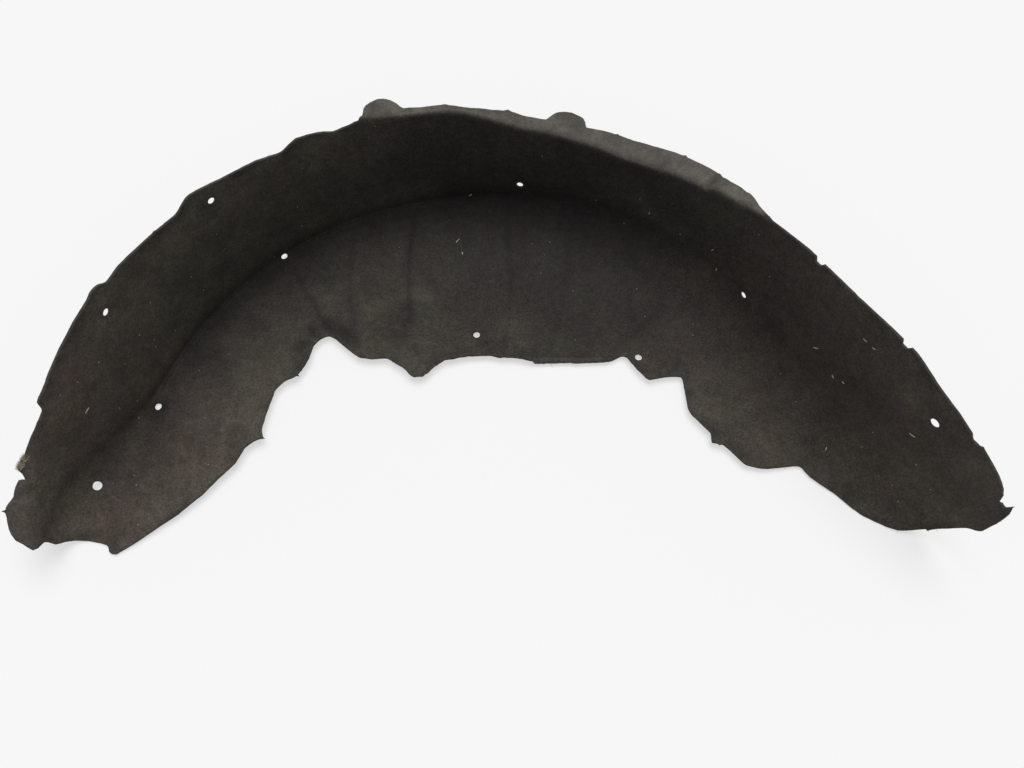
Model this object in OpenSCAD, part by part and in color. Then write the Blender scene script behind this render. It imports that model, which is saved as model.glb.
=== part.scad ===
// Wheel arch liner moulded in one piece from thick felt.
// It lies on its inboard wall with the wheel axis upright. A station is an angle round the
// wheel axis, counted from +X towards +Y. Past leg_angle the arch runs on as a straight leg,
// where the stations keep the same spacing along the leg.

/* [Sheet] */
// Thickness of the moulded felt
sheet_t = 3; // [2.5:0.1:4]
// Radius from the wheel axis to the foot of the barrel wall
arch_radius = 381; // [340:1:430]
// Nominal height of the barrel wall above the inboard wall
barrel_height = 160; // [140:1:190]
// Lean of the barrel wall out of the mould
draft_angle = 6; // [3:0.5:9]
// Station where the round arch turns into the straight leg
leg_angle = 33; // [31:0.5:35]

/* [Corner between the two walls] */
// Outside radius of the corner along the round arch
crease_radius = 9; // [8:0.5:12]
// Outside radius of the corner along the straight leg
leg_corner_radius = 42; // [36:1:46]
// Outside radius of the corner in the spread foot
foot_corner_radius = 40; // [34:1:44]

/* [Outboard lip] */
// Widest stretch of the lip that stands out over the crown
lip_width = 28; // [22:1:32]
// Bend radius under the lip
lip_bend_radius = 2; // [1.5:0.5:4]
// How far a rounded clip tab stands out past the lip
tab_length = 12; // [8:1:15]
// Width of the flange along the spread foot
foot_flange_width = 33; // [28:1:36]
// Bend radius under the foot flange
foot_flange_bend_radius = 18; // [14:1:22]
// Depth of the clip notches in the free edge of the leg
notch_depth = 6; // [4:0.5:7]

/* [Inner cut-out] */
// Length of sheet turned down along the middle of the cut-out
hem_length = 6; // [5:0.5:7]
// Height of the shallow folds across the inboard wall
pleat_height = 1; // [0.5:0.1:2]

/* [Clip holes] */
// Diameter of the holes for push clips
clip_hole_d = 8; // [6:0.5:9]
// Diameter of the two fixing holes near the ends
end_hole_d = 10; // [8:0.5:11]
// Diameter of the pressed flat seat round a hole
seat_d = 22; // [18:1:26]
// Depth of the pressed seat
seat_depth = 0.5; // [0.3:0.1:0.8]

/* [Hidden] */

// Outward departure of the corner from the arch circle, as shares of arch_radius
spread_shares = [
    [160, 0], [166, 0.005], [173, 0.04], [177, 0.075], [181, 0.115], [186, 0.15], [195, 0.165],
];
// Height of the lip root or free edge, as shares of barrel_height
height_shares = [
    [-20, 0.78], [-13, 0.83], [-8, 0.93], [-4, 0.98], [2, 1.038], [8, 1.095], [13, 1.085],
    [20, 1.055], [30, 1.03], [36, 0.974], [41, 0.91], [45, 0.86], [49, 0.81], [54, 0.77],
    [60, 0.73], [64, 0.71], [69, 0.72], [77, 0.735], [82, 0.735], [87, 0.78], [91, 0.85],
    [94, 0.88], [100, 0.875], [105, 0.868], [107, 0.895], [109, 0.945], [113, 0.917],
    [115, 0.957], [119, 0.982],
    [122, 0.922], [126, 0.952], [132, 0.972], [138, 1.025], [141, 0.965], [145, 0.975],
    [153, 1.003], [155.5, 0.995], [156.8, 1.05], [158.3, 1.06], [159.2, 1.043], [163, 1.036],
    [167, 1.005], [171, 0.94], [174, 0.87], [176, 0.77], [180, 0.57], [187, 0.3], [191, 0.27],
    [195, 0.27],
];
// Width of the lip over the crown, as shares of lip_width
lip_shares = [
    [36, 0], [39, 0.1], [43, 0.51], [47, 0.75], [52, 0.87], [56, 0.94], [60, 0.9], [66, 0.84],
    [70, 0.76], [78, 0.66], [84, 0.74], [88, 0.53], [91, 0.3], [95, 0.35], [98, 0.33],
    [103, 0.53], [105, 0.58], [107, 0.37], [109, 0],
];
// Width of the flange along the spread foot, as shares of foot_flange_width
flange_shares = [
    [173, 0], [176, 0.12], [180, 0.4], [184, 0.58], [187, 0.92], [191, 1], [195, 1],
];
// Distance of the inner edge from the arch circle, as shares of arch_radius
inner_edge_shares = [
    [-13.5, 0], [-11, 0.06], [-7.5, 0.093], [-4, 0.124], [-1, 0.137], [2, 0.154], [4, 0.166],
    [6, 0.166], [7.5, 0.217], [8.5, 0.255], [9.5, 0.278], [11, 0.304], [13.5, 0.311],
    [16, 0.316], [17, 0.345], [18.5, 0.325], [21, 0.332], [24, 0.336], [27, 0.305],
    [29.5, 0.283], [31, 0.327], [32, 0.374], [36.5, 0.381], [40.5, 0.378], [42, 0.385],
    [42.8, 0.42], [46, 0.46], [50, 0.494], [57, 0.537], [64, 0.567], [71.5, 0.58], [79, 0.594], [88, 0.596],
    [97, 0.597], [105, 0.597], [108, 0.602], [110.5, 0.62], [115, 0.632], [119, 0.618],
    [120, 0.611], [120.5, 0.592], [122, 0.569], [123, 0.543], [124, 0.52], [128.5, 0.499],
    [131.5, 0.468], [132.5, 0.43], [133, 0.366], [134, 0.344], [136, 0.336], [138.5, 0.336],
    [142, 0.357], [146, 0.364], [148.5, 0.362], [151, 0.341], [154.5, 0.333], [159.5, 0.346],
    [165.5, 0.358], [167.5, 0.372], [169, 0.349], [171, 0.329], [175, 0.313], [182, 0.23],
    [185.5, 0.16], [188, 0.085], [189.5, 0.035], [190, 0],
];
// Outside radius of the corner at each station, as shares of the way to the larger radius
soft_corner_shares = [[70, 0.75], [78, 0.5], [86, 0.25], [94, 0.1], [104, 0]];
leg_corner_shares = [[33, 1], [50, 0.9], [70, 0.75]];
foot_corner_shares = [[158, 0], [166, 0.2], [172, 0.5], [178, 1]];
// Rise of the inboard wall towards the wheel axis, in degrees by station
dish_angles = [[-15, 6], [20, 5], [45, 3], [60, 2], [90, 2], [120, 2.5], [150, 4], [170, 5]];
// Angle that the lip and the foot flange turn through
lip_angle = 74;
foot_flange_angle = 58;
// Angle that the hem turns through, and its stations
hem_angle = 72;
hem_angles = [42.5, 46, 57, 64];
hem_blend_angle = 1.5;
// Middle stations of the two rounded tabs, and half their width
tab_angles = [75, 104.5];
tab_half_angle = 3.4;
// Steepness of a tab's side towards the crown and away from it
tab_shares = [2.2, 4.5];
crown_angle = 90;
half_turn_angle = 180;
// Stations of the notches in the free edge, their shares of notch_depth, and half their width
notch_angles = [-12.7, -5, 10, 27.5];
notch_shares = [1.8, 0.45, 0.85, 0.85];
notch_half_angle = 0.9;
// Steps in the free edge beside the spread foot, as station and share of notch_depth
step_shares = [[173.4, 0], [174, 1.3], [178, 0], [181.5, -0.2], [182.2, 1.2], [184, 0]];
// Stations of the shallow folds across the inboard wall, and half their width
pleat_angles = [48, 60, 82, 101.5, 117, 142, 153];
pleat_half_angle = 1;
// Shift of the cut ends in stations, by share of the way across the section
right_end_shares = [
    [0, 0.45], [0.04, 0.05], [0.12, -0.45], [0.2, -0.95], [0.4, -1.75], [0.46, -2.3],
    [0.54, -3.15], [0.72, -3.15], [0.84, -2.95], [1, -2.2],
];
left_end_shares = [
    [0, 1], [0.04, 1.2], [0.08, 1.1], [0.165, 0.4], [0.19, -0.9], [0.28, -1.45], [0.34, -1.7],
    [0.44, -1.7], [0.52, -1.3], [0.6, -1.1], [0.68, -1.15], [0.72, -0.85], [0.8, 0.35],
    [0.84, 0.1], [0.92, -0.85], [0.96, -1.5], [1, -2.75],
];
// Station past which the free edge belongs to the foot, and where the corner is a plain crease
foot_side_angle = 140;
crease_angles = [70, 130];
// Stations over which a cut end's shift fades out
end_fade_angle = 16;
// First and last station
right_end_angle = inner_edge_shares[0][0];
left_end_angle = inner_edge_shares[len(inner_edge_shares) - 1][0];
// Clip holes on the inboard wall, as station and distance inwards in shares of arch_radius
wall_hole_shares = [[38.5, 0.357], [89.3, 0.523]];
// Clip holes in the corner, as station and share of the way round the bend
corner_hole_shares = [[129.2, 0.5], [165.6, 0.2]];
// Clip holes in the barrel wall, as station and height in shares of barrel_height
barrel_hole_shares = [[34.9, 0.225], [81.9, 0.2], [135.3, 0.87], [158.8, 0.86]];
// Larger holes near the ends, as station and share of the length up from the corner
leg_hole_share = [-0.8, 0.83];
foot_hole_share = [180.3, 0.23];

// Spacing of the sections along the arch, in stations
step_angle = 2.5;
// Nearest that two sections may lie
gap_angle = 0.35;
// Rows across the hem, wall, bend, barrel and lip
hem_rows = 2;
wall_rows = 4;
bend_rows = 5;
barrel_rows = 4;
lip_rows = 4;
// Least width of a row
least_row = sheet_t / 2;
// Overrun of the cutters
overrun = sheet_t;

function radians(angle) = angle * PI / 180;
function total(list) = list * [for (x = list) 1];

// Table value with its corners rounded over a few stations
function eased(x, table, span = 1.5) =
    total([for (k = [-1:0.5:1]) lookup(x + k * span, table)]) / 5;

// Sorted copy of a list with equal values merged
function sorted(list) =
    len(list) == 0 ? [] :
    let (pivot = list[floor(len(list) / 2)])
    concat(
        sorted([for (x = list) if (x < pivot) x]),
        [pivot],
        sorted([for (x = list) if (x > pivot) x])
    );

// Height of a rounded tab beside its middle, as a share of its length, steepest away from the crown
function tab_share(x) =
    abs(x) >= 1 ? 0 : (1 + cos(half_turn_angle * pow(abs(x), x < 0 ? tab_shares[0] : tab_shares[1]))) / 2;
function fold_share(x) = max(0, 1 - abs(x));
// Depth of a flat-bottomed notch beside its middle, as a share of its depth
function notch_share(x) = min(1, 2 * fold_share(x));

// Outside radius of the corner
function corner_radius(st) =
    st < crease_angles[0]
    ? crease_radius + (leg_corner_radius - crease_radius) * eased(st, leg_corner_shares, 4)
    : st < crease_angles[1]
    ? crease_radius + (leg_corner_radius - crease_radius) * eased(st, soft_corner_shares, 4)
    : crease_radius + (foot_corner_radius - crease_radius) * eased(st, foot_corner_shares, 3);

// Measures of the section at a station
function section(st) =
    let (
        r = corner_radius(st),
        dish = eased(st, dish_angles, 4),
        turn = 90 - draft_angle + dish,
        tangent = r * tan(turn / 2),
        bend_q = arch_radius * eased(st, spread_shares) - tangent * cos(dish),
        bend_s = r * radians(turn),
        bend_z = r * (cos(dish) - sin(draft_angle)),
        root_z = barrel_height * eased(st, height_shares, 0.4),
        root_s = bend_s + max(least_row, (root_z - bend_z) / cos(draft_angle)),
        on_foot = st > foot_side_angle,
        tabs = max([
            for (t = tab_angles) tab_share(sign(t - crown_angle) * (st - t) / tab_half_angle)
        ]),
        lip = on_foot
            ? foot_flange_width * eased(st, flange_shares, 1)
            : lip_width * eased(st, lip_shares, 1) + tab_length * tabs,
        notch = notch_depth * (
            max([
                for (i = [0:len(notch_angles) - 1])
                    notch_shares[i] * notch_share((st - notch_angles[i]) / notch_half_angle)
            ])
            + lookup(st, step_shares)
        ),
        inward = -bend_q - arch_radius * lookup(st, inner_edge_shares),
        start_s = inward < 0
            ? inward / cos(dish)
            : r * radians(asin(min(0.8, inward / r - sin(dish))) + dish),
        hem = lookup(st, [
            [hem_angles[0] - hem_blend_angle, 0], [hem_angles[0], 1],
            [hem_angles[3], 1], [hem_angles[3] + hem_blend_angle, 0],
        ])
    )
    [
        bend_q, dish, r, bend_s, root_s,
        on_foot ? foot_flange_bend_radius : lip_bend_radius,
        on_foot ? foot_flange_angle : lip_angle,
        start_s, root_s + lip - notch, hem * hem_angle,
    ];

// Point of the outer face and its direction, at length s from the start of the corner
function wall_at(c, s) = [c[0] + s * cos(c[1]), -s * sin(c[1]), -c[1]];
function bend_at(c, s) =
    let (a = s / radians(1) / c[2] - c[1])
    [c[0] + c[2] * (sin(a) + sin(c[1])), c[2] * (cos(c[1]) - cos(a)), a];
function barrel_at(c, s) =
    let (p = bend_at(c, c[3]), past = s - c[3])
    [p[0] + past * sin(draft_angle), p[1] + past * cos(draft_angle), 90 - draft_angle];
function roll_at(c, s) =
    let (p = barrel_at(c, c[4]), a = p[2] - (s - c[4]) / radians(1) / c[5])
    [p[0] + c[5] * (sin(p[2]) - sin(a)), p[1] + c[5] * (cos(a) - cos(p[2])), a];
function lip_at(c, s) =
    let (edge = c[4] + c[5] * radians(c[6]), p = roll_at(c, edge), past = s - edge)
    [p[0] + past * cos(p[2]), p[1] + past * sin(p[2]), p[2]];
function hem_at(c, s) =
    let (
        p = wall_at(c, c[7] + hem_length),
        r = hem_length / radians(c[9]),
        a = p[2] + (c[7] + hem_length - s) / radians(1) / r
    )
    [p[0] - r * (sin(a) - sin(p[2])), p[1] - r * (cos(p[2]) - cos(a)), a];
function section_point(c, s) =
    c[9] > 0 && s < c[7] + hem_length ? hem_at(c, s)
    : s < 0 ? wall_at(c, s)
    : s < c[3] ? bend_at(c, s)
    : s < c[4] ? barrel_at(c, s)
    : s < c[4] + c[5] * radians(c[6]) ? roll_at(c, s)
    : lip_at(c, s);

// Lengths at which the section has its rows
function spread_out(from, to, n) = [for (i = [0:n - 1]) from + (to - from) * i / n];
function rows(c) =
    let (
        hem_end = c[7] + hem_length,
        bend_start = max(0, hem_end + least_row),
        bend_end = max(c[3], bend_start + bend_rows * least_row),
        edge = max(c[8], bend_end + (lip_rows + 1) * least_row),
        roll = c[5] * radians(c[6]),
        lip = [
            for (k = [0:lip_rows - 1])
                min(c[4] + roll * k / (lip_rows - 1), edge - (lip_rows - k) * least_row)
        ]
    )
    concat(
        spread_out(c[7], hem_end, hem_rows),
        spread_out(hem_end, bend_start, wall_rows),
        spread_out(bend_start, bend_end, bend_rows),
        spread_out(bend_end, lip[0], barrel_rows),
        lip,
        [edge]
    );

// Place round the arch or along the leg, at distance q outside the arch circle
function place(st, q, z) =
    let (
        facing = max(st, leg_angle),
        past = arch_radius * radians(facing - st),
        out = arch_radius + q
    )
    [
        out * cos(facing) + past * sin(facing),
        out * sin(facing) - past * cos(facing),
        z,
    ];

// Shift of the cut ends at a station, by the share of the way across the section
function end_shift(st, share) =
    lookup(share, right_end_shares) * max(0, 1 - (st - right_end_angle) / end_fade_angle)
    + lookup(share, left_end_shares) * max(0, 1 - (left_end_angle - st) / end_fade_angle);

// Lift of the shallow folds, which die out at the corner
function pleat_lift(st, s) =
    pleat_height * min(1, max(0, -s / (pleat_half_angle * radians(arch_radius))))
    * max([for (p = pleat_angles) fold_share((st - p) / pleat_half_angle)]);

// Point of the section on one face, lifted off the outer face by depth
function sheet_point(st, c, s, depth, share) =
    let (
        p = section_point(c, s),
        lift = depth + pleat_lift(st, s)
    )
    place(st + end_shift(st, share), p[0] - lift * sin(p[2]), p[1] + lift * cos(p[2]));

// Stations of the sections, closest where the edges have their corners
key_stations = sorted(concat(
    [for (p = inner_edge_shares) p[0]],
    [for (n = notch_angles) for (k = [-1, -0.5, 0.5, 1]) n + k * notch_half_angle],
    [for (t = tab_angles) for (k = [-1, -0.9, -0.6, -0.2, 0.2, 0.6, 0.9, 1]) t + k * tab_half_angle],
    [for (p = step_shares) p[0]],
    [for (p = height_shares) if (p[0] > right_end_angle && p[0] < left_end_angle) p[0]],
    [for (p = pleat_angles) for (k = [-1, 0, 1]) p + k * pleat_half_angle],
    [hem_angles[0] - hem_blend_angle, hem_angles[3] + hem_blend_angle]
));
between_stations = [
    for (st = [right_end_angle + step_angle:step_angle:left_end_angle - step_angle])
        if (min([for (k = key_stations) abs(k - st)]) > step_angle * 0.45) st
];
all_stations = sorted(concat(key_stations, between_stations));
stations = [
    for (i = [0:len(all_stations) - 1])
        if (i == 0 || i == len(all_stations) - 1 || all_stations[i] - all_stations[i - 1] > gap_angle)
            all_stations[i]
];

row_count = hem_rows + wall_rows + bend_rows + barrel_rows + lip_rows + 1;
sections = [for (st = stations) section(st)];
section_rows = [for (c = sections) rows(c)];

function face_points(depth) = [
    for (i = [0:len(stations) - 1])
        for (s = section_rows[i])
            sheet_point(
                stations[i], sections[i], s, depth,
                (s - sections[i][7]) / (section_rows[i][row_count - 1] - sections[i][7])
            )
];
sheet_points = concat(face_points(0), face_points(sheet_t));
half_count = len(stations) * row_count;

// Numbers of the points at station i and row j on the outer and on the wheel side
function outer_index(i, j) = i * row_count + j;
function inner_index(i, j) = half_count + i * row_count + j;
last_i = len(stations) - 1;
last_j = row_count - 1;

sheet_faces = concat(
    [for (i = [0:last_i - 1]) for (j = [0:last_j - 1]) each [
        [outer_index(i, j), outer_index(i, j + 1), outer_index(i + 1, j)],
        [outer_index(i + 1, j), outer_index(i, j + 1), outer_index(i + 1, j + 1)],
        [inner_index(i, j), inner_index(i + 1, j), inner_index(i, j + 1)],
        [inner_index(i + 1, j), inner_index(i + 1, j + 1), inner_index(i, j + 1)],
    ]],
    [for (i = [0:last_i - 1]) each [
        [outer_index(i, 0), outer_index(i + 1, 0), inner_index(i, 0)],
        [outer_index(i + 1, 0), inner_index(i + 1, 0), inner_index(i, 0)],
        [outer_index(i, last_j), inner_index(i, last_j), outer_index(i + 1, last_j)],
        [outer_index(i + 1, last_j), inner_index(i, last_j), inner_index(i + 1, last_j)],
    ]],
    [for (j = [0:last_j - 1]) each [
        [outer_index(0, j), inner_index(0, j), outer_index(0, j + 1)],
        [outer_index(0, j + 1), inner_index(0, j), inner_index(0, j + 1)],
        [outer_index(last_i, j), outer_index(last_i, j + 1), inner_index(last_i, j)],
        [outer_index(last_i, j + 1), inner_index(last_i, j + 1), inner_index(last_i, j)],
    ]]
);

// Middle of the bottom of the part's box
low = [for (k = [0, 1, 2]) min([for (p = sheet_points) p[k]])];
high = [for (k = [0, 1, 2]) max([for (p = sheet_points) p[k]])];
rest_point = [(low[0] + high[0]) / 2, (low[1] + high[1]) / 2, low[2]];

// Moves what follows to a hole's middle in the sheet, with +Z out of the wheel side
module at_hole(st, s) {
    p = section_point(section(st), s);
    mid = sheet_t / 2;
    facing = max(st, leg_angle);
    translate(place(st, p[0] - mid * sin(p[2]), p[1] + mid * cos(p[2])))
        rotate([0, -p[2], facing])
            children();
}

module hole_cutter(d, seated) {
    cylinder(d = d, h = sheet_t + 2 * overrun, center = true, $fn = 32);
    if (seated) {
        translate([0, 0, sheet_t / 2 - seat_depth])
            cylinder(d = seat_d, h = overrun, $fn = 48);
    }
}

function barrel_length(st, share) =
    let (c = section(st))
    c[3] + (share * barrel_height - bend_at(c, c[3])[1]) / cos(draft_angle);
function wall_length(st, share) =
    let (c = section(st))
    (-c[0] - share * arch_radius) / cos(c[1]);
function up_length(st, share) = section(st)[4] * share;

module clip_holes() {
    for (h = wall_hole_shares) {
        at_hole(h[0], wall_length(h[0], h[1])) hole_cutter(clip_hole_d, true);
    }
    for (h = corner_hole_shares) {
        at_hole(h[0], section(h[0])[3] * h[1]) hole_cutter(clip_hole_d, false);
    }
    for (h = barrel_hole_shares) {
        at_hole(h[0], barrel_length(h[0], h[1])) hole_cutter(clip_hole_d, true);
    }
    at_hole(leg_hole_share[0], up_length(leg_hole_share[0], leg_hole_share[1]))
        hole_cutter(end_hole_d, true);
    at_hole(foot_hole_share[0], up_length(foot_hole_share[0], foot_hole_share[1]))
        hole_cutter(end_hole_d, false);
}

module wheel_arch_liner() {
    color("#3a372f") translate(-rest_point) difference() {
        polyhedron(points = sheet_points, faces = sheet_faces, convexity = 6);
        clip_holes();
    }
}

wheel_arch_liner();
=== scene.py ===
"""Wheel arch liner moulded in one piece from thick needled felt, lying on its inboard wall.

The sheet is drawn along the arch from the same sizes as the solid. A station is an angle in
degrees round the wheel axis, and a run is a length in millimetres across the sheet, counted from
the start of the corner between the two walls: it is negative on the inboard wall.
"""
import math
import random

import bmesh
import bpy
import numpy as np
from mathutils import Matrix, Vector, noise


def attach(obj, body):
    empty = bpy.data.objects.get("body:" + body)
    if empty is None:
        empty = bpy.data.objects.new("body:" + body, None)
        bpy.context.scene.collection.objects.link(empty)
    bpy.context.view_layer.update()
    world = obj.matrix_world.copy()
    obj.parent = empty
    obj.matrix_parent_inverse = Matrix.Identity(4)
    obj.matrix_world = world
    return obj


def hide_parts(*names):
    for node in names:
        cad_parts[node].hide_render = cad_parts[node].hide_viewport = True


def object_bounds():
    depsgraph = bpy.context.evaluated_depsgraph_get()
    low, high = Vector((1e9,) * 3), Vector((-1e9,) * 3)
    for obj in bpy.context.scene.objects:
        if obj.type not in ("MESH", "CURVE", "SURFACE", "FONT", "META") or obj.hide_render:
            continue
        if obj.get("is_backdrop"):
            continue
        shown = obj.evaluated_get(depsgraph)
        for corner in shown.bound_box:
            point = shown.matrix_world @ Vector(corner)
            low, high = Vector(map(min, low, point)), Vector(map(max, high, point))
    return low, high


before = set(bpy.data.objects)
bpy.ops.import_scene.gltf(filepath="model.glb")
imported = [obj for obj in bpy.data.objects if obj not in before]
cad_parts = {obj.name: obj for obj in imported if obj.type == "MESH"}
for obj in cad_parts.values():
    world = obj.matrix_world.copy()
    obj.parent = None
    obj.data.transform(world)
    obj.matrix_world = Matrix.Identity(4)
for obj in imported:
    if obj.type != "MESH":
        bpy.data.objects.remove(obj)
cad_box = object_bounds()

MM = 0.001

# ---- The liner's sizes, in millimetres and degrees ----

SHEET_T = 3.0
ARCH_RADIUS = 381.0
BARREL_HEIGHT = 160.0
DRAFT_ANGLE = 6.0
LEG_STATION = 33.0
CREASE_RADIUS = 9.0
LEG_CORNER_RADIUS = 42.0
FOOT_CORNER_RADIUS = 40.0
LIP_WIDTH = 28.0
LIP_BEND_RADIUS = 2.0
TAB_LENGTH = 12.0
FOOT_FLANGE_WIDTH = 33.0
FOOT_FLANGE_BEND_RADIUS = 18.0
NOTCH_DEPTH = 6.0
HEM_LENGTH = 6.0
CLIP_HOLE_R = 4.0
END_HOLE_R = 5.0
SEAT_R = 11.0
SEAT_DEPTH = 0.5
SEAT_RIM, SEAT_STEP = 0.4, 1.1
LIP_TURN = 74.0
FOOT_FLANGE_TURN = 58.0
HEM_TURN = 72.0
FOOT_SIDE_STATION = 140.0
RIGHT_END, LEFT_END = -13.5, 190.0
END_FADE = 16.0
LEG_STATION_MM = math.radians(ARCH_RADIUS)
# Middle of the bottom of the liner's box, in the wheel's frame
REST = np.array([22.208, 165.474, -0.20832])
REST_V = Vector(REST)


def table(*pairs):
    return np.array(pairs[0::2], float), np.array(pairs[1::2], float)


# Outward departure of the corner from the arch circle, in shares of the arch radius
SPREAD = table(160, 0, 166, 0.005, 173, 0.04, 177, 0.075, 181, 0.115, 186, 0.15, 195, 0.165)
# Height of the lip root or free edge, in shares of the barrel's height
HEIGHT = table(
    -20, 0.78, -13, 0.83, -8, 0.93, -4, 0.98, 2, 1.038, 8, 1.095, 13, 1.085, 20, 1.055, 30, 1.03,
    36, 0.974, 41, 0.9, 43.2, 0.872, 45, 0.858, 46.8, 0.85, 48.2, 0.84, 49.1, 0.79, 50.3, 0.786,
    54, 0.764, 60, 0.712, 64, 0.694, 69, 0.709, 77, 0.732, 82, 0.742, 87, 0.8, 91, 0.855,
    94, 0.876, 98, 0.88, 101.6, 0.885, 103.7, 0.9, 105.8, 0.915, 107.3, 0.935, 109, 0.945,
    113, 0.917, 115, 0.957, 119, 0.982, 122, 0.922, 126, 0.952, 132, 0.972, 138, 1.025,
    141, 0.965, 145, 0.975, 153, 1.003, 155.5, 0.995, 156.8, 1.05, 158.3, 1.06, 159.2, 1.043,
    163, 1.036, 167, 1.005, 171, 0.94, 174, 0.87, 176, 0.77, 180, 0.57, 187, 0.3, 191, 0.27,
    195, 0.27)
# Width of the lip over the crown and of the flange along the spread foot
LIP = table(
    36, 0, 39, 0.1, 43, 0.51, 47, 0.75, 52, 0.87, 56, 0.94, 60, 0.9, 66, 0.84, 70, 0.76,
    78, 0.66, 84, 0.74, 88, 0.53, 91, 0.3, 95, 0.35, 98, 0.33, 103, 0.53, 105, 0.58,
    107, 0.37, 109, 0)
FLANGE = table(
    173, 0, 176, 0.12, 180, 0.4, 184, 0.58, 187, 0.92, 191, 1, 195, 1)
# Distance of the inner edge from the arch circle, in shares of the arch radius
INNER_EDGE = table(
    -13.5, 0, -11, 0.063, -10, 0.074, -8, 0.095, -6, 0.114, -4, 0.126, -1, 0.137, 2, 0.157,
    4, 0.168, 6, 0.168, 7.5, 0.221, 8.5, 0.258, 9.5, 0.28, 11, 0.305, 13.5, 0.312, 16, 0.321,
    17, 0.348, 18.5, 0.328, 21, 0.336, 23, 0.341, 24, 0.338, 27, 0.309, 29.5, 0.286, 31, 0.331,
    32, 0.381, 36.5, 0.387, 40.5, 0.384, 42, 0.389, 42.8, 0.424, 46, 0.463, 50, 0.497, 57, 0.54,
    64, 0.571, 66.5, 0.576, 71.5, 0.581, 79, 0.594, 83, 0.591, 88, 0.595, 97, 0.599, 99, 0.602,
    101, 0.601, 103, 0.601, 108.3, 0.615, 112, 0.628, 115, 0.633, 118, 0.625, 119.9, 0.614,
    120.3, 0.586, 121, 0.574, 122.4, 0.554, 124, 0.523, 128.5, 0.5, 131.5, 0.472,
    132.5, 0.43, 133, 0.358, 134, 0.344, 136, 0.336, 138.5, 0.338, 142, 0.36, 144, 0.366,
    146, 0.369, 148, 0.368, 149, 0.361, 151, 0.345, 154.5, 0.337, 156, 0.342, 159.5, 0.348,
    165.5, 0.358, 167.5, 0.372, 169, 0.347, 171, 0.329, 175, 0.314, 178, 0.281, 182, 0.233,
    185.5, 0.165, 188, 0.088, 189.5, 0.035, 190, 0)
# Outside radius of the corner, as shares of the way from the crease to the larger radius
SOFT_CORNER = table(70, 0.75, 78, 0.5, 86, 0.25, 94, 0.1, 104, 0)
LEG_CORNER = table(33, 1, 50, 0.9, 70, 0.75)
FOOT_CORNER = table(158, 0, 166, 0.2, 172, 0.5, 178, 1)
# Rise of the inboard wall towards the wheel axis, in degrees
DISH = table(-15, 6, 20, 5, 45, 3, 60, 2, 90, 2, 120, 2.5, 150, 4, 170, 5)
# The hem turned down along the cut-out, and steps in the edge beside the spread foot
HEM = table(41, 0, 42.5, 1, 64, 1, 65.5, 0)
STEPS = table(
    173.4, 0, 174.2, 0.3, 174.5, 1.1, 174.8, 1.25, 176.6, 0.5, 178.8, 0.12, 181, 0.05,
    181.7, -0.1, 182.4, -0.3, 182.8, -0.35, 183.1, -0.1, 183.25, 0.45, 183.4, 0.95, 183.6, 1.05,
    184, 0.75, 184.4, 0.4, 185.3, 0.33, 186.4, 0.55, 187.6, 0.15, 188.3, 0, 189.3, 0.2, 190, 0.6)
# Millimetres by which the trimmed outer edge strays from the form it was pressed to
EDGE_TRIM = table(
    -13.5, 0, -12.5, 0, -12.1, -5, -11.7, -5.5, -11.2, -1.9, -10.4, 0, -9.6, 0.7, -7.6, 0.6,
    -6.2, 1.1, -5.6, 1.4, -5.2, 1, -4.9, 0, -4.2, -1.8, -3.8, 0, -1.3, 1, 0, 0.6, 2, 0, 35, 0,
    36.6, 0.3, 40.7, 1, 43.2, 2.4, 43.9, 0.6, 45, 0, 46.8, -3.4, 48.2, -3.7, 49.1, 2, 50.3, 1.8,
    54, 0.8, 60, 2.3, 64, 2, 69, 1.5, 71.3, 0, 72.6, -0.6, 73.3, 0, 74.5, 1.9, 75.5, 1.4,
    76.5, 0.2, 78, -0.9, 79, -2.2, 82, -2.8, 83.8, -2.4, 87, -2.6, 89, -1.5, 90.5, -0.8,
    92.5, -0.2, 94.8, 0.6, 97, 0.4, 100.2, -1.3, 101.6, -2.6, 102.7, -3.9, 103.7, -3.1,
    104.9, -2.9, 105.9, -4.3, 106.8, -4.7, 107.6, -2, 108.2, -1.3, 108.7, -2.2, 109.3, -0.8,
    112, 0, 171.5, 0, 173.2, 1.2, 174, 2.2, 174.4, 0)
TAB_STATIONS, TAB_HALF, CROWN = (75.0, 104.5), 3.4, 90.0
# Small hooks and bumps along the trimmed edges: station, height in mm and half width in stations
INNER_NIBS = ((147.7, 3, 0.3), (167.6, 3.5, 0.45), (16.1, 2.8, 0.3), (118.6, 1, 0.7))
OUTER_NIBS = (
    (188.75, 3.4, 0.22), (-13.5, 2.2, 0.7), (94.5, 0.7, 0.8), (84.5, 2, 0.75),
    (66.6, 1.2, 0.4), (55.3, 1.6, 0.45), (145.2, 1, 0.5))
NOTCHES, NOTCH_HALF = ((-12.7, 1.8), (-5.0, 0.45), (10.0, 0.85), (27.5, 0.85)), 0.9
# Shift of the two cut ends in stations, by share of the way across the sheet
RIGHT_END_SHIFT = table(
    0, 0.12, 0.025, 0.1, 0.18, -0.9, 0.365, -1.8, 0.43, -2.2, 0.49, -3, 0.535, -3.4, 0.655, -3.3,
    0.74, -3.3, 0.85, -3.1, 0.92, -2.9, 1, -2.3)
LEFT_END_SHIFT = table(
    0, 1, 0.045, 1.4, 0.075, 1.2, 0.1, 0.8, 0.106, 0.05, 0.125, -0.4, 0.185, -0.9, 0.285, -1.5,
    0.39, -1.7, 0.465, -1.5, 0.54, -1, 0.63, -1.2, 0.69, -0.9, 0.75, -0.1, 0.785, 0.5, 0.83, 0.2,
    0.875, -0.3, 0.925, -0.8, 0.96, -1.6, 0.98, -2.3, 1, -3.4)


# ---- The shape of the sheet ----

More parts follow.
